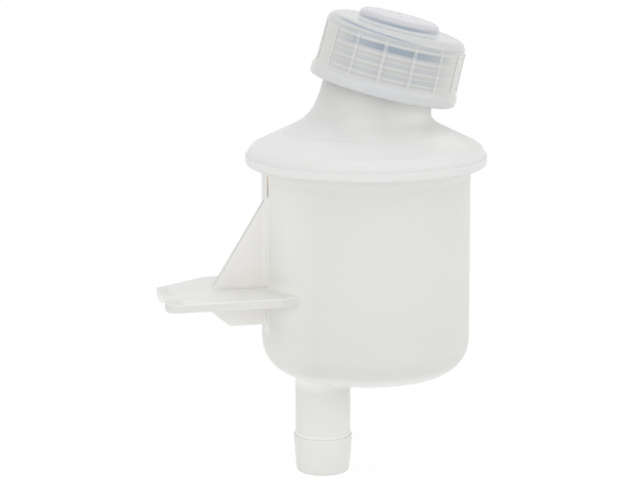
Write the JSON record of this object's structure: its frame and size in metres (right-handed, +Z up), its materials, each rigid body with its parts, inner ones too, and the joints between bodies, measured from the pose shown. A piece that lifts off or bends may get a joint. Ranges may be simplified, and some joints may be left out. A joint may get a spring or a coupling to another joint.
{
  "type": "brake fluid reservoir",
  "caption": "Remote brake fluid reservoir: a round cup with a side bracket and a barbed hose nozzle, under a domed shell with a leaning neck and a ribbed screw cap.",
  "frame": {"origin": "centre of the outlet's mouth, at the lower end of the hose nozzle", "axes": "+Z up along the nozzle and parallel to the cup's axis; -X towards the bracket's tip"},
  "size_m": [0.113, 0.081, 0.1572],
  "materials": {
    "cup_plastic": "natural polypropylene, milky and half see-through, satin",
    "dome_plastic": "natural polypropylene, milky and half see-through, satin",
    "cap_plastic": "clear polypropylene with a blue cast, see-through, lightly glossy",
    "seal_rubber": "soft light grey seal",
    "insert_plastic": "blue-grey moulded insert"
  },
  "bodies": {
    "reservoir": {"lower_shell": "cup_plastic", "upper_shell": "dome_plastic"},
    "insert": {"cap_seal": "seal_rubber", "vent_insert": "insert_plastic"},
    "cap": {"screw_cap": "cap_plastic"}
  },
  "joints": [
    {"name": "cap_lift", "type": "slide", "parent": "reservoir", "child": "insert", "axis": [0.232, -0.0687, 0.9703], "range_m": [0, 0.0127]},
    {"name": "cap_turn", "type": "hinge", "parent": "insert", "child": "cap", "pos_m": [0.015, 0, 0.1089], "axis": [0.232, -0.0687, 0.9703], "range_deg": [0, 1080]}
  ],
  "couplings": [
    {"joint": "cap_lift", "follows": "cap_turn", "m_per_rad": 0.00066845}
  ]
}
